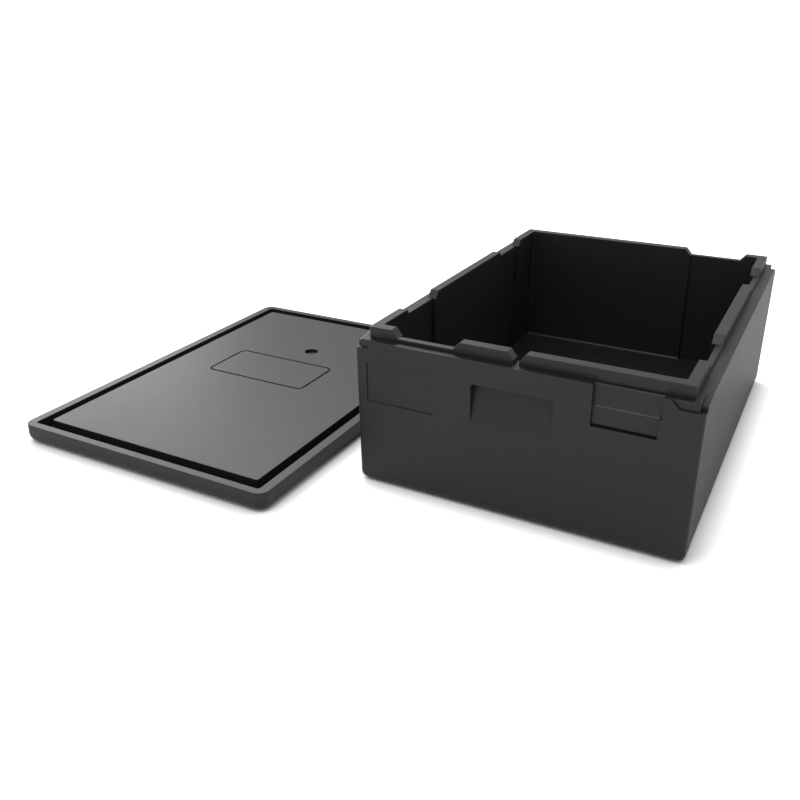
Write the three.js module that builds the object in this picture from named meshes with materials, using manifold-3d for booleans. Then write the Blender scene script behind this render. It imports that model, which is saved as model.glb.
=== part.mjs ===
// Insulated transport box in expanded polypropylene foam, open, with its lift-off lid.
// The lid lies beside the box with its sealing side up. Units are millimetres, +Z is up,
// and the origin is the centre of the box's underside.
import * as THREE from "three";
import { mergeVertices } from "three/addons/utils/BufferGeometryUtils.js";
import Module from "manifold-3d";

const wasm = await Module();
wasm.setup();

// ---- driving dimensions ----
const width = 485; // outside, along X
const depth = 685; // outside, along Y
const cornerRadius = 6; // the box's upright outside corners
const edgeRadius = 13; // rounding round the underside
const draft = { x: 3.5, y: 4.5 }; // how far the outside walls lean in, from the ledge down to the underside
const wall = 31; // outside face to inside face, at the ledge
const floorThickness = 26;
const ledgeHeight = 228; // where the lid's outer strip rests
const innerCornerRadius = 5; // inside, upright and round the floor

const tongue = { height: 245, insetX: 16.5, insetY: 14, cornerRadius: 3, lowHeight: 233.5 };
// Where the tongue drops to its low height: [start, end] measured along the wall at the tongue's top.
const dropRun = 10; // length of the slope at each end of a low stretch
const sideLows = [[104, 212], [depth - 212, depth - 104]];
const frontLow = [52, 157];
const backLow = [width - 157, width - 52];
const panelDepth = 6; // the inside wall steps back this far below each low stretch
const gap = { centre: -3.5, top: 26, bottom: 8 }; // keying gap near the middle of the front tongue

// Outer ledge corners, cut down so that fingers reach under the lid. Lengths run from the corner.
const cornerCut = { height: 216, deepX: 8, deepY: 4, long: 31, short: 20, side: 12 };
const ramp = { low: 222, length: 28 };

const label = { left: 18.5, bottom: 134, width: 105, height: 61, depth: 1.8 };
const grip = { centre: -3.5, width: 116, top: 193.5, bottom: 134, depth: 15 };
const card = {
  left: 347,
  bottom: 172,
  middle: 198, // a step, above which the recess is wider and deeper
  upperWidth: 87,
  upperDepth: 7.5,
  lowerWidth: 83.5,
  lowerDepth: 5.7,
};
const cardSlot = { height: 2.4, depth: 9 };

const lid = {
  thickness: 32,
  cornerRadius: 17,
  edgeRadius: 15, // rounding round its outer face, which lies down here
  stripX: 16, // outer strip that rests on the ledge
  stripY: 13.5,
  grooveEnd: 32.2, // inset of the groove's inner side
  grooveDepth: 18.5,
  centreX: -549,
  centreY: -152,
};
const dimple = { radius: 12, depth: 4, offsetY: 150 };
const frameMark = { width: 210, height: 110, radius: 12, line: 2.6, depth: 2.5, offsetX: -20, offsetY: 40 };

const overcut = 2; // how far a cutter passes the face that it opens
const arcSteps = 5; // segments in each quarter round

// ---- helpers ----
function solid(geometry) {
  const bare = geometry.index ? geometry.toNonIndexed() : geometry.clone();
  bare.deleteAttribute("normal");
  bare.deleteAttribute("uv");
  const merged = mergeVertices(bare, 1e-4);
  return new wasm.Manifold(
    new wasm.Mesh({
      numProp: 3,
      vertProperties: merged.attributes.position.array,
      triVerts: new Uint32Array(merged.index.array),
    }),
  );
}

function meshOf(name, shape, material) {
  const made = shape.getMesh();
  const geometry = new THREE.BufferGeometry();
  geometry.setAttribute("position", new THREE.BufferAttribute(made.vertProperties, 3));
  geometry.setIndex(new THREE.BufferAttribute(made.triVerts, 1));
  geometry.computeVertexNormals();
  const mesh = new THREE.Mesh(geometry, material);
  mesh.name = name;
  return mesh;
}

function roundedRect(w, d, radius) {
  const x = w / 2 - radius;
  const y = d / 2 - radius;
  const shape = new THREE.Shape();
  shape.absarc(x, y, radius, 0, Math.PI / 2);
  shape.absarc(-x, y, radius, Math.PI / 2, Math.PI);
  shape.absarc(-x, -y, radius, Math.PI, Math.PI * 1.5);
  shape.absarc(x, -y, radius, Math.PI * 1.5, Math.PI * 2);
  return shape;
}

function prism(w, d, radius, z0, z1) {
  const flat = { depth: z1 - z0, bevelEnabled: false, curveSegments: arcSteps };
  return solid(new THREE.ExtrudeGeometry(roundedRect(w, d, radius), flat).translate(0, 0, z0));
}

// A prism whose lower edge is rounded all the way round.
function roundBottomPrism(w, d, radius, edge, z0, z1) {
  const inner = roundedRect(w - 2 * edge, d - 2 * edge, Math.max(radius - edge, 0.5));
  const bevel = { bevelThickness: edge, bevelSize: edge, bevelSegments: arcSteps };
  const options = { depth: z1 - z0, curveSegments: arcSteps, ...bevel };
  const whole = solid(new THREE.ExtrudeGeometry(inner, options).translate(0, 0, z0 + edge));
  return whole.subtract(solid(block(-w, w, -d, d, z1, z1 + 4 * edge)));
}

function block(x0, x1, y0, y1, z0, z1) {
  const box = new THREE.BoxGeometry(x1 - x0, y1 - y0, z1 - z0);
  return box.translate((x0 + x1) / 2, (y0 + y1) / 2, (z0 + z1) / 2);
}

// A bar whose outline is drawn on a wall: the first number runs along the wall and the second up.
// It passes through an end wall along Y, or through a side wall along X, from near to far.
function endWallBar(outline, near, far) {
  return wallBar(outline, far - near).translate(0, far, 0);
}

function sideWallBar(outline, near, far) {
  return wallBar(outline, far - near).rotateZ(Math.PI / 2).translate(near, 0, 0);
}

function wallBar(outline, length) {
  const shape = new THREE.Shape(outline.map(([across, up]) => new THREE.Vector2(across, up)));
  const bar = new THREE.ExtrudeGeometry(shape, { depth: length, bevelEnabled: false });
  return bar.rotateX(Math.PI / 2); // along, up and through become X, Z and -Y
}

// Outline of an upright wall whose two lower corners are round.
function roundFootOutline(span, radius, top) {
  const points = [[-span / 2, top]];
  for (const side of [-1, 1]) {
    for (let step = 0; step <= arcSteps; step++) {
      const angle = ((side < 0 ? step : arcSteps - step) * Math.PI) / 2 / arcSteps;
      const across = span / 2 - radius + radius * Math.cos(angle);
      points.push([side * across, radius - radius * Math.sin(angle)]);
    }
  }
  points.push([span / 2, top]);
  return points;
}

function halfTurn(geometry) {
  return geometry.clone().rotateZ(Math.PI);
}

const left = -width / 2;
const right = width / 2;
const front = -depth / 2;
const back = depth / 2;

// Outline of a low stretch of the tongue, from above the tongue down to its low height.
function dropOutline([start, end], origin) {
  const top = tongue.height + overcut;
  const flare = (dropRun * overcut) / (tongue.height - tongue.lowHeight);
  return [
    [origin + start - flare, top],
    [origin + start + dropRun, tongue.lowHeight],
    [origin + end - dropRun, tongue.lowHeight],
    [origin + end + flare, top],
  ];
}

// ---- box ----
function tongueDrops() {
  const reach = wall + overcut;
  const drops = [];
  for (const low of sideLows) {
    drops.push(sideWallBar(dropOutline(low, front), left, left + reach));
    drops.push(sideWallBar(dropOutline(low, front), right - reach, right));
  }
  drops.push(endWallBar(dropOutline(frontLow, left), front, front + reach));
  drops.push(endWallBar(dropOutline(backLow, left), back - reach, back));
  return drops;
}

function keyingGap() {
  const halfTop = gap.top / 2;
  const half = gap.bottom / 2;
  const flare = ((halfTop - half) * overcut) / (tongue.height - tongue.lowHeight);
  const outline = [
    [gap.centre - halfTop - flare, tongue.height + overcut],
    [gap.centre - half, tongue.lowHeight],
    [gap.centre - half, ledgeHeight],
    [gap.centre + half, ledgeHeight],
    [gap.centre + half, tongue.lowHeight],
    [gap.centre + halfTop + flare, tongue.height + overcut],
  ];
  return endWallBar(outline, front, front + wall + overcut);
}

// Shallow full-height panels in the inside walls, below each low stretch.
function wallPanels() {
  const top = tongue.height + overcut;
  const step = wall - panelDepth;
  const reach = wall + overcut;
  const panels = [];
  for (const [start, end] of sideLows) {
    const y0 = front + start + dropRun;
    const y1 = front + end - dropRun;
    panels.push(block(left + step, left + reach, y0, y1, floorThickness, top));
    panels.push(block(right - reach, right - step, y0, y1, floorThickness, top));
  }
  const frontX = [left + frontLow[0] + dropRun, left + frontLow[1] - dropRun];
  const backX = [left + backLow[0] + dropRun, left + backLow[1] - dropRun];
  panels.push(block(...frontX, front + step, front + reach, floorThickness, top));
  panels.push(block(...backX, back - reach, back - step, floorThickness, top));
  return panels;
}

// The two corner cuts at the front. Half a turn puts the same pair at the back.
function cornerCuts() {
  const top = ledgeHeight + overcut;
  const base = cornerCut.height;
  const slope = top - base;
  const longStart = right - cornerCut.long;
  const shortEnd = left + cornerCut.short;
  const longCut = [
    [longStart - slope, top],
    [longStart, base],
    [right + overcut, base],
    [right + overcut, top],
  ];
  const shortCut = [
    [left - overcut, top],
    [left - overcut, base],
    [shortEnd, base],
    [shortEnd + slope, top],
  ];
  const sideEnd = front + cornerCut.side;
  const sideCut = [
    [front - overcut, top],
    [front - overcut, base],
    [sideEnd, base],
    [sideEnd, ramp.low],
    [sideEnd + ramp.length, ledgeHeight],
    [sideEnd + ramp.length, top],
  ];
  return [
    endWallBar(longCut, front - overcut, front + cornerCut.deepY),
    endWallBar(shortCut, front - overcut, front + cornerCut.deepY),
    sideWallBar(sideCut, right - cornerCut.deepX, right + overcut),
    sideWallBar(sideCut, left - overcut, left + cornerCut.deepX),
  ];
}

// How far the front face has leaned in at height z.
function leanAt(z) {
  return (draft.y * (ledgeHeight - z)) / ledgeHeight;
}

// A cutter for a pocket in the front face. Its outline holds [in, up] points, and it runs along the wall.
function frontPocket(outline, start, length) {
  const profile = new THREE.Shape(outline.map(([inwards, up]) => new THREE.Vector2(inwards, up)));
  const pocket = new THREE.ExtrudeGeometry(profile, { depth: length, bevelEnabled: false });
  pocket.rotateX(Math.PI / 2).rotateZ(Math.PI / 2); // in, up and along become Y, Z and X
  return pocket.translate(start, front, 0);
}

// The hand grip is deepest under its top edge and runs out to nothing at the bottom.
function handGrip() {
  const deepest = leanAt(grip.top) + grip.depth;
  const run = deepest - leanAt(grip.bottom);
  const below = ((grip.top - grip.bottom) * (overcut + leanAt(grip.bottom))) / run;
  const outline = [
    [-overcut, grip.top],
    [deepest, grip.top],
    [-overcut, grip.bottom - below],
  ];
  return frontPocket(outline, grip.centre - grip.width / 2, grip.width);
}

function cardHolder() {
  const x0 = left + card.left;
  const upperEnd = x0 + card.upperWidth;
  const lowerEnd = x0 + card.lowerWidth;
  const y0 = front - overcut;
  const z0 = card.bottom - cardSlot.height;
  return [
    block(x0, upperEnd, y0, front + card.upperDepth, card.middle, ledgeHeight + overcut),
    block(x0, lowerEnd, y0, front + card.lowerDepth, z0, card.middle),
    block(x0, lowerEnd, y0, front + cardSlot.depth, z0, card.bottom),
  ];
}

function labelField() {
  const top = label.bottom + label.height;
  const outline = [
    [-overcut, label.bottom],
    [-overcut, top],
    [leanAt(top) + label.depth, top],
    [leanAt(label.bottom) + label.depth, label.bottom],
  ];
  return frontPocket(outline, left + label.left, label.width);
}

function boxShell() {
  let shell = prism(width, depth, cornerRadius, 0, ledgeHeight);
  const above = ledgeHeight + overcut;
  const seenFromFront = roundFootOutline(width, edgeRadius, above);
  const seenFromSide = roundFootOutline(depth, edgeRadius, above);
  shell = shell.intersect(solid(endWallBar(seenFromFront, front - overcut, back + overcut)));
  shell = shell.intersect(solid(sideWallBar(seenFromSide, left - overcut, right + overcut)));
  shell = shell.warp((point) => {
    const down = (ledgeHeight - point[2]) / ledgeHeight;
    point[0] *= 1 - (down * draft.x) / right;
    point[1] *= 1 - (down * draft.y) / back;
  });
  const tongueWidth = width - 2 * tongue.insetX;
  const tongueDepth = depth - 2 * tongue.insetY;
  const foot = ledgeHeight - overcut;
  shell = shell.add(prism(tongueWidth, tongueDepth, tongue.cornerRadius, foot, tongue.height));
  const inside = [width - 2 * wall, depth - 2 * wall, innerCornerRadius, innerCornerRadius];
  shell = shell.subtract(roundBottomPrism(...inside, floorThickness, tongue.height + overcut));
  const atBothEnds = [...cornerCuts(), handGrip(), labelField()];
  const cuts = [...tongueDrops(), keyingGap(), ...wallPanels(), ...cardHolder(), ...atBothEnds];
  cuts.push(...atBothEnds.map(halfTurn));
  for (const cut of cuts) shell = shell.subtract(solid(cut));
  return shell;
}

// ---- lid, with its sealing side up ----
// A plain engraved frame, as wide as the line and as deep as its depth.
function frameGroove(faceHeight) {
  const { width: w, height: h, radius, line, offsetX, offsetY } = frameMark;
  const floor = faceHeight - frameMark.depth;
  const top = faceHeight + overcut;
  const outer = roundedRect(w, h, radius);
  outer.holes.push(roundedRect(w - 2 * line, h - 2 * line, radius - line));
  const options = { depth: top - floor, bevelEnabled: false, curveSegments: arcSteps };
  return solid(new THREE.ExtrudeGeometry(outer, options).translate(offsetX, offsetY, floor));
}

function lidPlate() {
  const { thickness, stripX, stripY, grooveEnd, grooveDepth } = lid;
  const top = thickness + overcut;
  const floor = thickness - grooveDepth;
  const outerRadius = tongue.cornerRadius + 1;
  const outer = prism(width - 2 * stripX, depth - 2 * stripY, outerRadius, floor, top);
  const plateSize = [width - 2 * grooveEnd, depth - 2 * grooveEnd, innerCornerRadius];
  const groove = outer.subtract(prism(...plateSize, floor - overcut, top + overcut));
  const hole = new THREE.CylinderGeometry(dimple.radius, dimple.radius, 2 * dimple.depth, 24);
  hole.rotateX(Math.PI / 2).translate(0, dimple.offsetY, thickness);
  let plate = roundBottomPrism(width, depth, lid.cornerRadius, lid.edgeRadius, 0, thickness);
  plate = plate.subtract(groove).subtract(solid(hole));
  return plate.subtract(frameGroove(thickness));
}

const foam = new THREE.MeshStandardMaterial({ color: 0x2c2c2d, roughness: 0.72, metalness: 0 });
const lidFoam = new THREE.MeshStandardMaterial({ color: 0x2e2e2f, roughness: 0.7, metalness: 0 });

const object = new THREE.Group();
object.add(meshOf("box_shell", boxShell(), foam));

const lidMesh = meshOf("lid", lidPlate(), lidFoam);
lidMesh.position.set(lid.centreX, lid.centreY, 0);
object.add(lidMesh);

export default object;
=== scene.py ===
import bmesh
import bpy
import math
from mathutils import Matrix, Vector


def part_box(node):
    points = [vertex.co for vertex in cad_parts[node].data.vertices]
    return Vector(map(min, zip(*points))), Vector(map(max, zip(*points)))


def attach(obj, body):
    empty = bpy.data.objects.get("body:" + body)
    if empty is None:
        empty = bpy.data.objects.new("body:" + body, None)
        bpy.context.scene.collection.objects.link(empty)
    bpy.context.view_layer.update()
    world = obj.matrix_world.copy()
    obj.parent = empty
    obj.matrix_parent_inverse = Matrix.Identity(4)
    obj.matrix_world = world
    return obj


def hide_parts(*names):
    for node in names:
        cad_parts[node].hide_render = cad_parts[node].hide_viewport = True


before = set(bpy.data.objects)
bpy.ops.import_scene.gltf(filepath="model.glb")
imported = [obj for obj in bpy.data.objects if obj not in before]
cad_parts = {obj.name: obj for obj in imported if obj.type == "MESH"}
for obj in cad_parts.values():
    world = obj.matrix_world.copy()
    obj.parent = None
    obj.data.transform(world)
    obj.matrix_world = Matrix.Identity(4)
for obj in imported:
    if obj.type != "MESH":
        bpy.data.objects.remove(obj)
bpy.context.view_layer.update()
boxLow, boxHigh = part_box("box_shell")
lidLow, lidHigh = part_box("lid")
print("frame loaded")


def m(millimetres):
    return millimetres / 1000


past = m(2)  # how far a cutting block passes the face that it opens
tiny = m(0.01)  # two places closer than this are the same place
straight = 0.999  # share of an edge's length that has to run along an axis
level = 0.9  # share of a face's direction that has to be upright
tubSteps = {"square foot": 4, "round foot": 8}  # steps round a tub's corner
softSteps = 3  # steps round a softened edge
sliver = {"length": m(0.05), "angle": math.radians(0.5)}  # what is left over after a cut
sharpest = math.radians(35)  # softened edges turn more than this, which an arc's own steps do not
smoothest = math.radians(32)  # edges that turn more than this are shaded sharp
faceWeight = 90  # how far large faces lead the shading


def activate(piece):
    bpy.ops.object.select_all(action="DESELECT")
    piece.select_set(True)
    bpy.context.view_layer.objects.active = piece


def addBlock(name, low, high):
    bpy.ops.object.select_all(action="DESELECT")
    centre = [(a + b) / 2 for a, b in zip(low, high)]
    size = [b - a for a, b in zip(low, high)]
    bpy.ops.mesh.primitive_cube_add(size=1, location=centre, scale=size)
    bpy.ops.object.transform_apply(location=True, rotation=True, scale=True)
    block = bpy.context.active_object
    block.name = name
    return block


# Selects the edges or faces that pass the test, then runs the edit on them.
def edit(piece, kind, wanted, change):
    activate(piece)
    bpy.ops.object.mode_set(mode="EDIT")
    bpy.ops.mesh.select_mode(type=kind)
    bpy.ops.mesh.select_all(action="DESELECT")
    mesh = bmesh.from_edit_mesh(piece.data)
    for element in mesh.edges if kind == "EDGE" else mesh.faces:
        if wanted(element):
            element.select_set(True)
    bmesh.update_edit_mesh(piece.data)
    change()
    bpy.ops.object.mode_set(mode="OBJECT")


def roundEdges(piece, wanted, radius, segments):
    bevel = {"offset": radius, "segments": segments, "affect": "EDGES"}
    edit(piece, "EDGE", wanted, lambda: bpy.ops.mesh.bevel(**bevel))


def shift(piece, kind, wanted, offset):
    edit(piece, kind, wanted, lambda: bpy.ops.transform.translate(value=offset))


def along(edge, axis):
    a, b = edge.verts
    return abs((b.co - a.co).normalized()[axis]) > straight


def edgeAt(edge, **place):
    ends = [v.co for v in edge.verts]
    return all(abs(getattr(end, axis) - value) < tiny for end in ends for axis, value in place.items())


def upright(edge):
    return along(edge, 2)


# A block with round upright corners, and a rounded lower edge and walls that lean in towards the foot
# where they are asked for.
# Both are one bevel, so that they flow together, and each edge's weight sets its own radius.
def addTub(name, low, high, corner, lower=0, draft=(0, 0)):
    tub = addBlock(name, low, high)
    width, depth = high[0] - low[0], high[1] - low[1]
    lean = {"value": (1 - 2 * draft[0] / width, 1 - 2 * draft[1] / depth, 1),
            "center_override": ((low[0] + high[0]) / 2, (low[1] + high[1]) / 2, low[2])}
    edit(tub, "FACE", lambda f: f.normal.z < -level, lambda: bpy.ops.transform.resize(**lean))
    largest = max(corner, lower)
    weigh = bpy.ops.transform.edge_bevelweight
    edit(tub, "EDGE", upright, lambda: weigh(value=corner / largest))
    if lower:
        edit(tub, "EDGE", lambda e: edgeAt(e, z=low[2]), lambda: weigh(value=lower / largest))
    activate(tub)
    rounding = tub.modifiers.new("rounding", "BEVEL")
    rounding.limit_method = "WEIGHT"
    rounding.width = largest
    rounding.segments = tubSteps["round foot" if lower else "square foot"]
    bpy.ops.object.modifier_apply(modifier="rounding")
    return tub


def combine(piece, other, operation):
    activate(piece)
    modifier = piece.modifiers.new("combine", "BOOLEAN")
    modifier.operation = operation
    modifier.solver = "EXACT"
    modifier.object = other
    bpy.ops.object.modifier_apply(modifier="combine")
    bpy.data.objects.remove(other)


def cut(piece, *cutters):
    for cutter in cutters:
        combine(piece, cutter, "DIFFERENCE")


# A copy turned half round the box's upright centre line.
def halfTurned(piece):
    activate(piece)
    bpy.ops.object.duplicate()
    bpy.ops.transform.rotate(value=math.pi, orient_axis="Z", center_override=(0, 0, 0))
    bpy.ops.object.transform_apply(location=True, rotation=True, scale=True)
    return bpy.context.active_object


# Convex edges that are sharper than an arc's own steps.
def sharpEdge(edge):
    return edge.is_manifold and edge.calc_face_angle_signed() > sharpest


def finishShading(piece):
    activate(piece)
    bpy.ops.object.shade_smooth_by_angle(angle=smoothest)
    normals = piece.modifiers.new("normals", "WEIGHTED_NORMAL")
    normals.keep_sharp = True
    normals.weight = faceWeight
    bpy.ops.object.modifier_apply(modifier="normals")


boxPlan = {  # the box, one moulding in bead foam; millimetres
    "corner": 6, "lowerEdge": 13, "wall": 31, "floor": 26, "ledge": 228,
    "draft": (3.5, 4.5),  # how far the side and end walls lean in towards the foot
    "innerCorner": 4, "innerEdge": 5,
    "tongueInset": (16.5, 14), "tongueCorner": 3, "tongueRoot": 20,
    "low": 233.5,  # top of the rim where it is low
    "dropRun": 10,  # length of the slope at each end of a low stretch
    "sideLow": (104, 212), "endLow": (52, 157), "panel": 6,
    "gapCentre": -3.5, "gapTop": 26, "gapFoot": 8,
    "edgeSoftness": 0.8,
}
cornerPlan = {
    "height": 216, "deepX": 8, "deepY": 4, "long": 31, "short": 20, "side": 12,
    "rampLow": 222, "rampLength": 28,
}
gripPlan = {
    "centre": -3.5, "width": 116, "top": 193.5, "bottom": 134, "depth": 15,
    "upperCorner": 3, "upperSteps": 4,
}
labelPlan = {"left": 18.5, "bottom": 134, "width": 105, "height": 61, "depth": 1.8}
cardPlan = {
    "left": 347, "bottom": 172, "middle": 198, "upperWidth": 87, "upperDepth": 7.5,
    "lowerWidth": 83.5, "lowerDepth": 5.7, "slotHeight": 2.4, "slotDepth": 9, "lean": 1.6,
}

left, front = boxLow.x, boxLow.y
right, back = boxHigh.x, boxHigh.y
rimTop = boxHigh.z
ledge = m(boxPlan["ledge"])
wall = m(boxPlan["wall"])
floorTop = m(boxPlan["floor"])


# A cutting block for a low stretch of the rim: its ends lean out towards the top.
def lowStretch(low, high, axis):
    block = addBlock("lowStretch", low, high)
    flare = m(boxPlan["dropRun"]) * (high[2] - low[2]) / (rimTop - low[2])
    length = high[axis] - low[axis]
    factor = [1, 1, 1]
    factor[axis] = (length + 2 * flare) / length
    grow = {"value": factor, "center_override": [(a + b) / 2 for a, b in zip(low, high)]}
    edit(block, "FACE", lambda f: f.normal.z > level, lambda: bpy.ops.transform.resize(**grow))
    return block


# Each low stretch has a shallow panel below it, sunk into the inside wall down to the floor.
def cutSideWalls(shell):
    lowest, top = m(boxPlan["low"]), rimTop + past
    step = wall - m(boxPlan["panel"])
    start, end = [m(x) for x in boxPlan["sideLow"]]
    run = m(boxPlan["dropRun"])
    for first in (front + start, back - end):
        y0, y1 = first + run, first + end - start - run
        for x0, x1 in ((left - past, left + wall + past), (right - wall - past, right + past)):
            cut(shell, lowStretch((x0, y0, lowest), (x1, y1, top), 1))
        for x0, x1 in ((left + step, left + wall + past), (right - wall - past, right - step)):
            cut(shell, addBlock("panel", (x0, y0, floorTop), (x1, y1, top)))


def cutEndWalls(shell):
    lowest, top = m(boxPlan["low"]), rimTop + past
    step = wall - m(boxPlan["panel"])
    start, end = [m(x) for x in boxPlan["endLow"]]
    run = m(boxPlan["dropRun"])
    x0, x1 = left + start + run, left + end - run
    drop = lowStretch((x0, front - past, lowest), (x1, front + wall + past, top), 0)
    panel = addBlock("panel", (x0, front + step, floorTop), (x1, front + wall + past, top))
    cut(shell, halfTurned(drop), drop, halfTurned(panel), panel)


# The gap in the middle of the front rim, a V above a narrow slot.
def cutKeyingGap(shell):
    centre = m(boxPlan["gapCentre"])
    half, halfTop = m(boxPlan["gapFoot"]) / 2, m(boxPlan["gapTop"]) / 2
    start, end = centre - half, centre + half
    lowest, top = m(boxPlan["low"]), rimTop + past
    slot = addBlock("slot", (start, front - past, ledge), (end, front + wall + past, top))
    vee = addBlock("vee", (start, front - past, lowest), (end, front + wall + past, top))
    reach = (halfTop - half) * (top - lowest) / (rimTop - lowest)
    for side in (-1, 1):
        shift(vee, "EDGE", lambda e: edgeAt(e, x=centre + side * half, z=top), (side * reach, 0, 0))
    cut(shell, slot, vee)


# Cuts at the ledge's corners, where fingers reach under the lid.
def cornerCutters():
    top, base = ledge + past, m(cornerPlan["height"])
    deepX, deepY = m(cornerPlan["deepX"]), m(cornerPlan["deepY"])
    slope = top - base
    longStart, shortEnd = right - m(cornerPlan["long"]), left + m(cornerPlan["short"])
    longCut = addBlock("longCut", (longStart, front - past, base), (right + past, front + deepY, top))
    shift(longCut, "EDGE", lambda e: edgeAt(e, x=longStart, z=top), (-slope, 0, 0))
    shortCut = addBlock("shortCut", (left - past, front - past, base), (shortEnd, front + deepY, top))
    shift(shortCut, "EDGE", lambda e: edgeAt(e, x=shortEnd, z=top), (slope, 0, 0))
    cutters = [longCut, shortCut]
    sideEnd = front + m(cornerPlan["side"])
    rampEnd = sideEnd + m(cornerPlan["rampLength"])
    rampLow = m(cornerPlan["rampLow"])
    for x0, x1 in ((right - deepX, right + past), (left - past, left + deepX)):
        cutters.append(addBlock("sideCut", (x0, front - past, base), (x1, sideEnd, top)))
        rampCut = addBlock("ramp", (x0, sideEnd - past, rampLow), (x1, rampEnd, top))
        shift(rampCut, "EDGE", lambda e: edgeAt(e, y=rampEnd, z=rampLow), (0, 0, ledge - rampLow))
        cutters.append(rampCut)
    return cutters


# How far the front face has leaned in at a height.
def leanAt(height):
    return m(boxPlan["draft"][1]) * (ledge - height) / ledge


# The hand grip is deepest under its top edge and runs out to nothing at the bottom.
def gripCutter():
    centre, half, depth = m(gripPlan["centre"]), m(gripPlan["width"]) / 2, m(gripPlan["depth"])
    bottom, top = m(gripPlan["bottom"]), m(gripPlan["top"])
    deepest = front + depth + leanAt(top)
    grip = addBlock("grip", (centre - half, front - past, bottom), (centre + half, deepest, top))
    rise = front + leanAt(bottom) - deepest
    shift(grip, "EDGE", lambda e: edgeAt(e, y=deepest, z=bottom), (0, rise, 0))
    radius, steps = m(gripPlan["upperCorner"]), gripPlan["upperSteps"]
    roundEdges(grip, lambda e: along(e, 1) and edgeAt(e, z=top), radius, steps)
    return grip


def labelCutter():
    x0, z0 = left + m(labelPlan["left"]), m(labelPlan["bottom"])
    x1, z1 = x0 + m(labelPlan["width"]), z0 + m(labelPlan["height"])
    y1 = front + m(labelPlan["depth"]) + leanAt(z1)
    label = addBlock("label", (x0, front - past, z0), (x1, y1, z1))
    shift(label, "EDGE", lambda e: edgeAt(e, y=y1, z=z0), (0, leanAt(z0) - leanAt(z1), 0))
    return label


# The card holder's back leans away at the ledge and at its middle step, so that both catch the light.
def cardCutters():
    x0 = left + m(cardPlan["left"])
    upperEnd, lowerEnd = x0 + m(cardPlan["upperWidth"]), x0 + m(cardPlan["lowerWidth"])
    y0 = front - past
    middle, bottom = m(cardPlan["middle"]), m(cardPlan["bottom"])
    slotFloor = bottom - m(cardPlan["slotHeight"])
    upperBack, lowerBack = front + m(cardPlan["upperDepth"]), front + m(cardPlan["lowerDepth"])
    top, slant = ledge + past, m(cardPlan["lean"])
    upper = addBlock("cardUpper", (x0, y0, middle), (upperEnd, upperBack, top))
    lean = addBlock("lean", (x0, y0, ledge - slant), (upperEnd, upperBack, top))
    shift(lean, "EDGE", lambda e: edgeAt(e, y=upperBack, z=top), (0, past + slant, 0))
    lower = addBlock("cardLower", (x0, y0, slotFloor), (lowerEnd, lowerBack, middle))
    step = upperBack - lowerBack
    slope = addBlock("slope", (x0, y0, middle - step), (lowerEnd, lowerBack, middle))
    shift(slope, "EDGE", lambda e: edgeAt(e, y=lowerBack, z=middle), (0, step, 0))
    slot = addBlock("cardSlot", (x0, y0, slotFloor), (lowerEnd, front + m(cardPlan["slotDepth"]), bottom))
    return [upper, lean, lower, slope, slot]


def makeBox():
    draft = [m(x) for x in boxPlan["draft"]]
    shell = addTub("boxShell", (left, front, boxLow.z), (right, back, ledge),
                   m(boxPlan["corner"]), m(boxPlan["lowerEdge"]), draft)
    insetX, insetY = [m(x) for x in boxPlan["tongueInset"]]
    tongueLow = (left + insetX, front + insetY, ledge - m(boxPlan["tongueRoot"]))
    tongueHigh = (right - insetX, back - insetY, rimTop)
    combine(shell, addTub("tongue", tongueLow, tongueHigh, m(boxPlan["tongueCorner"])), "UNION")
    innerLow = (left + wall, front + wall, floorTop)
    innerHigh = (right - wall, back - wall, rimTop + past)
    inner = addTub("inner", innerLow, innerHigh, m(boxPlan["innerCorner"]), m(boxPlan["innerEdge"]))
    cut(shell, inner)
    cutSideWalls(shell)
    cutEndWalls(shell)
    cutKeyingGap(shell)
    for cutter in [*cornerCutters(), gripCutter(), labelCutter()]:
        cut(shell, halfTurned(cutter), cutter)
    cut(shell, *cardCutters())
    return shell


lidPlan = {  # the lid, one moulding, lying with its sealing side up; millimetres
    "corner": 17, "lowerEdge": 15, "stripX": 16, "stripY": 13.5, "stripCorner": 4,
    "grooveEnd": 32.2,  # from the lid's side to the groove's inner wall
    "plateCorner": 5, "grooveDepth": 18.5, "edgeSoftness": 0.8,
}
outlinePlan = {
    "width": 210, "height": 110, "corner": 12, "line": 3.2, "depth": 3.5,
    "x": -20, "y": 40,  # its middle, from the lid's own
}
dimplePlan = {"radius": 13, "depth": 6, "y": 150, "sides": 64}


# A ring between two rounded blocks, which cuts a groove.
def addRing(name, outer, outerCorner, inner, innerCorner):
    ring = addTub(name, *outer, outerCorner)
    combine(ring, addTub("core", *inner, innerCorner), "DIFFERENCE")
    return ring


def grownBox(centre, halfX, halfY, z0, z1):
    return (centre.x - halfX, centre.y - halfY, z0), (centre.x + halfX, centre.y + halfY, z1)


# The groove that takes the box's upright rim, all round the middle plate.
def grooveCutter(centre, half):
    grooveFloor, top = lidHigh.z - m(lidPlan["grooveDepth"]), lidHigh.z + past
    stripX, stripY, end = m(lidPlan["stripX"]), m(lidPlan["stripY"]), m(lidPlan["grooveEnd"])
    outer = grownBox(centre, half.x - stripX, half.y - stripY, grooveFloor, top)
    inner = grownBox(centre, half.x - end, half.y - end, grooveFloor - past, top + past)
    return addRing("groove", outer, m(lidPlan["stripCorner"]), inner, m(lidPlan["plateCorner"]))


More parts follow.
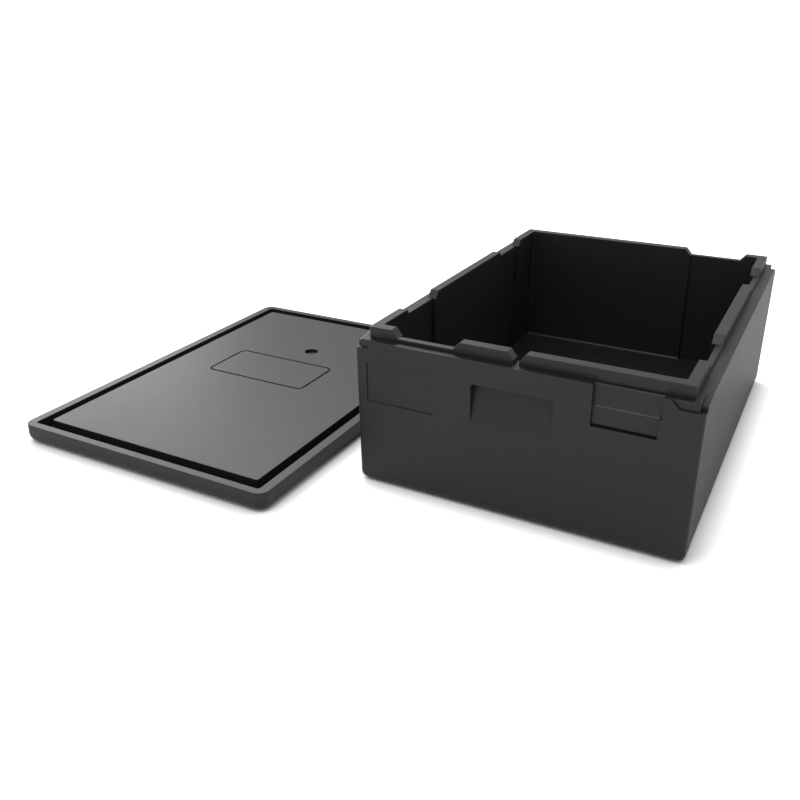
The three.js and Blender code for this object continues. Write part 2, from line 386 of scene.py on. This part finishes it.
# A thin rounded outline, pressed into the middle plate.
def outlineCutter(centre):
    line, corner = m(outlinePlan["line"]), m(outlinePlan["corner"])
    middle = centre + Vector((m(outlinePlan["x"]), m(outlinePlan["y"]), 0))
    halfX, halfY = m(outlinePlan["width"]) / 2, m(outlinePlan["height"]) / 2
    outlineFloor, top = lidHigh.z - m(outlinePlan["depth"]), lidHigh.z + past
    outer = grownBox(middle, halfX, halfY, outlineFloor, top)
    inner = grownBox(middle, halfX - line, halfY - line, outlineFloor - past, top + past)
    return addRing("outline", outer, corner, inner, corner - line)


# A plain round dimple in the middle plate, towards the lid's far end.
def dimpleCutter(centre):
    bpy.ops.object.select_all(action="DESELECT")
    place = (centre.x, centre.y + m(dimplePlan["y"]), lidHigh.z)
    size = {"radius": m(dimplePlan["radius"]), "depth": 2 * m(dimplePlan["depth"])}
    bpy.ops.mesh.primitive_cylinder_add(vertices=dimplePlan["sides"], location=place, **size)
    bpy.ops.object.transform_apply(location=True, rotation=True, scale=True)
    return bpy.context.active_object


def makeLid():
    centre, half = (lidLow + lidHigh) / 2, (lidHigh - lidLow) / 2
    corner, lowerEdge = m(lidPlan["corner"]), m(lidPlan["lowerEdge"])
    plate = addTub("lidPlate", tuple(lidLow), tuple(lidHigh), corner, lowerEdge)
    cut(plate, grooveCutter(centre, half), outlineCutter(centre), dimpleCutter(centre))
    return plate


# A linear colour from the sRGB one that a colour picker shows.
def colour(hexText):
    channels = [int(hexText[i:i + 2], 16) / 255 for i in (0, 2, 4)]
    linear = [c / 12.92 if c <= 0.04045 else ((c + 0.055) / 1.055) ** 2.4 for c in channels]
    return (*linear, 1)


def addNode(tree, kind, settings=None, links=None):
    node = tree.nodes.new(kind)
    for name, value in (settings or {}).items():
        if name in node.inputs:
            node.inputs[name].default_value = value
        else:
            setattr(node, name, value)
    for name, source in (links or {}).items():
        tree.links.new(source, node.inputs[name])
    return node


foamPlan = {
    "box": "1e1e1f", "lid": "1e1e1f",
    "tint": 0.10,  # how far one bead may be darker or lighter
    "bead": 3.4, "scatter": 0.9,  # mm across one bead, and how unevenly the beads lie
    "seamWidth": 0.18,  # share of a bead
    "seamDepth": 0.05,  # mm
    "seamStrength": 0.35,
    "roughness": 0.42, "roughnessSpread": 0.03,
    "patch": 40, "patchDetail": 3,  # mm across one patch of duller or shinier skin
    "specular": 0.5, "ior": 1.5,
}


# Moulded bead foam, expanded polypropylene: soft-sheen dark beads pressed flat against the mould.
def beadFoam(name, tone):
    material = bpy.data.materials.new(name)
    material.use_nodes = True
    tree = material.node_tree
    tree.nodes.clear()
    place = addNode(tree, "ShaderNodeTexCoord").outputs["Object"]
    beads = {"Scale": 1 / m(foamPlan["bead"]), "Randomness": foamPlan["scatter"]}
    edges = {**beads, "feature": "DISTANCE_TO_EDGE"}
    cells = addNode(tree, "ShaderNodeTexVoronoi", beads, {"Vector": place})
    seams = addNode(tree, "ShaderNodeTexVoronoi", edges, {"Vector": place})
    crown = addNode(tree, "ShaderNodeMapRange",
                    {"From Max": foamPlan["seamWidth"], "interpolation_type": "SMOOTHSTEP"},
                    {"Value": seams.outputs["Distance"]})
    bump = addNode(tree, "ShaderNodeBump",
                   {"Strength": foamPlan["seamStrength"], "Distance": m(foamPlan["seamDepth"])},
                   {"Height": crown.outputs["Result"]})
    brightness = addNode(tree, "ShaderNodeSeparateColor", None, {"Color": cells.outputs["Color"]})
    tint = addNode(tree, "ShaderNodeMapRange",
                   {"To Min": 1 - foamPlan["tint"], "To Max": 1 + foamPlan["tint"]},
                   {"Value": brightness.outputs["Red"]})
    base = addNode(tree, "ShaderNodeVectorMath", {"operation": "SCALE"}, {"Scale": tint.outputs["Result"]})
    base.inputs[0].default_value = colour(tone)[:3]
    skin = {"Scale": 1 / m(foamPlan["patch"]), "Detail": foamPlan["patchDetail"]}
    patches = addNode(tree, "ShaderNodeTexNoise", skin, {"Vector": place})
    spread = foamPlan["roughnessSpread"]
    rough = addNode(tree, "ShaderNodeMapRange",
                    {"To Min": foamPlan["roughness"] - spread, "To Max": foamPlan["roughness"] + spread},
                    {"Value": patches.outputs["Fac"]})
    shader = addNode(tree, "ShaderNodeBsdfPrincipled",
                     {"IOR": foamPlan["ior"], "Specular IOR Level": foamPlan["specular"]},
                     {"Base Color": base.outputs["Vector"], "Roughness": rough.outputs["Result"],
                      "Normal": bump.outputs["Normal"]})
    addNode(tree, "ShaderNodeOutputMaterial", None, {"Surface": shader.outputs["BSDF"]})
    return material


def dress(piece, material):
    piece.data.materials.clear()
    piece.data.materials.append(material)


# Clears the slivers that the cuts leave, then rounds the sharp edges.
def softenEdges(piece, radius):
    ops = bpy.ops.mesh
    edit(piece, "EDGE", lambda e: True, lambda: ops.remove_doubles(threshold=sliver["length"]))
    edit(piece, "EDGE", lambda e: True, lambda: ops.dissolve_limited(angle_limit=sliver["angle"]))
    roundEdges(piece, sharpEdge, radius, softSteps)


print("tools and materials ready")
shell = makeBox()
softenEdges(shell, m(boxPlan["edgeSoftness"]))
finishShading(shell)
dress(shell, beadFoam("moulded bead foam, box", foamPlan["box"]))
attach(shell, "box")
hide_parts("box_shell")
print("box:", len(shell.data.polygons), "faces")

lid = makeLid()
softenEdges(lid, m(lidPlan["edgeSoftness"]))
finishShading(lid)
dress(lid, beadFoam("moulded bead foam, lid", foamPlan["lid"]))
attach(lid, "lid")
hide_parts("lid")
print("lid:", len(lid.data.polygons), "faces")

studio = {  # metres and watts
    "floorSize": 14, "floorTone": "f2f2f2",
    # the floor's lift is a painted glow that only the camera sees; it fades near a piece, painting part of
    # the contact shadow
    "floorLift": 0.85,  # extra brightness of the floor where nothing stands near it
    "contact": 0.05,  # how near is near, for the shadow where a piece stands
    "contactRays": 8,
    "darkest": 0.4,  # share of open sky below which the floor has no lift
    "floorDrop": 0.0004,  # keeps the floor clear of the undersides
    "sky": 0.66, "skySeen": 1.2,
    "overhead": {"place": (-0.4, -1.4, 2.9), "target": (0, -0.2, 0.1), "size": (0.6, 0.6), "power": 13},
    "backFill": {"place": (-1.6, 1.4, 2.2), "target": (-0.2, 0, 0), "size": (1.2, 1.2), "power": 24},
    "leftBack": {"place": (-3.82, 1.17, 1.0), "target": (-0.2, 0, 0.1), "size": (3.4, 1.9), "power": 64},
}


# A matt floor that also glows for camera rays, a painted light that makes it look white; the glow fades
# where a piece stands near it, so the contact shadow there is partly real shade and partly painted shadow.
def glowingFloor():
    material = bpy.data.materials.new("glowingFloor")
    material.use_nodes = True
    shader = material.node_tree.nodes["Principled BSDF"]
    shader.inputs["Base Color"].default_value = colour(studio["floorTone"])
    shader.inputs["Roughness"].default_value = 1
    shader.inputs["Specular IOR Level"].default_value = 0
    shader.inputs["Emission Color"].default_value = (1, 1, 1, 1)
    tree = material.node_tree
    # painted light and shadow: camera rays see a glow, which the ambient occlusion dims near the pieces
    # into a painted contact shadow
    seen = addNode(tree, "ShaderNodeLightPath").outputs["Is Camera Ray"]
    reach = {"Distance": studio["contact"], "samples": studio["contactRays"]}
    clear = addNode(tree, "ShaderNodeAmbientOcclusion", reach).outputs["AO"]
    lift = {"From Min": studio["darkest"], "To Max": studio["floorLift"]}
    glow = addNode(tree, "ShaderNodeMapRange", lift, {"Value": clear})
    cameraGlow = addNode(tree, "ShaderNodeMath", {"operation": "MULTIPLY"})
    tree.links.new(seen, cameraGlow.inputs[0])
    tree.links.new(glow.outputs["Result"], cameraGlow.inputs[1])
    tree.links.new(cameraGlow.outputs["Value"], shader.inputs["Emission Strength"])
    return material


def makeFloor():
    bpy.ops.object.select_all(action="DESELECT")
    place = (0, 0, -studio["floorDrop"])
    bpy.ops.mesh.primitive_plane_add(size=studio["floorSize"], location=place)
    bpy.ops.object.transform_apply(location=True, rotation=True, scale=True)
    ground = bpy.context.active_object
    ground.name = "studioFloor"
    dress(ground, glowingFloor())


def makeSky():
    world = bpy.data.worlds.new("studio")
    bpy.context.scene.world = world
    world.use_nodes = True
    background = world.node_tree.nodes["Background"]
    background.inputs["Color"].default_value = (1, 1, 1, 1)
    seen = addNode(world.node_tree, "ShaderNodeLightPath").outputs["Is Camera Ray"]
    levels = {"To Min": studio["sky"], "To Max": studio["skySeen"]}
    strength = addNode(world.node_tree, "ShaderNodeMapRange", levels, {"Value": seen})
    world.node_tree.links.new(strength.outputs["Result"], background.inputs["Strength"])


def addSoftbox(name, place, target, size, power):
    bpy.ops.object.select_all(action="DESELECT")
    bpy.ops.object.light_add(type="AREA", location=place)
    lamp = bpy.context.active_object
    lamp.name = name
    lamp.data.shape = "RECTANGLE"
    lamp.data.size, lamp.data.size_y = size
    lamp.data.energy = power
    aim = Vector(target) - Vector(place)
    lamp.rotation_euler = aim.to_track_quat("-Z", "Y").to_euler()


cameraPlan = {  # metres, degrees and millimetres of lens
    "place": (0.3654, -1.3460, 0.6725), "azimuth": 28.70, "elevation": 21.08, "roll": -0.278,
    "lens": 39.524, "shift": (0.0118, -0.0711),
}


def makeCamera():
    data = bpy.data.cameras.new("camera")
    data.lens = cameraPlan["lens"]
    data.shift_x, data.shift_y = cameraPlan["shift"]
    camera = bpy.data.objects.new("camera", data)
    bpy.context.scene.collection.objects.link(camera)
    turn = Matrix.Rotation(math.radians(cameraPlan["azimuth"]), 4, "Z")
    tilt = Matrix.Rotation(math.radians(90 - cameraPlan["elevation"]), 4, "X")
    roll = Matrix.Rotation(math.radians(cameraPlan["roll"]), 4, "Z")
    camera.matrix_world = Matrix.Translation(cameraPlan["place"]) @ turn @ tilt @ roll
    bpy.context.scene.camera = camera


makeFloor()
makeSky()
for name in ("overhead", "backFill", "leftBack"):
    addSoftbox(name, **studio[name])
makeCamera()
bpy.context.scene.view_settings.view_transform = "Standard"
print("studio ready")
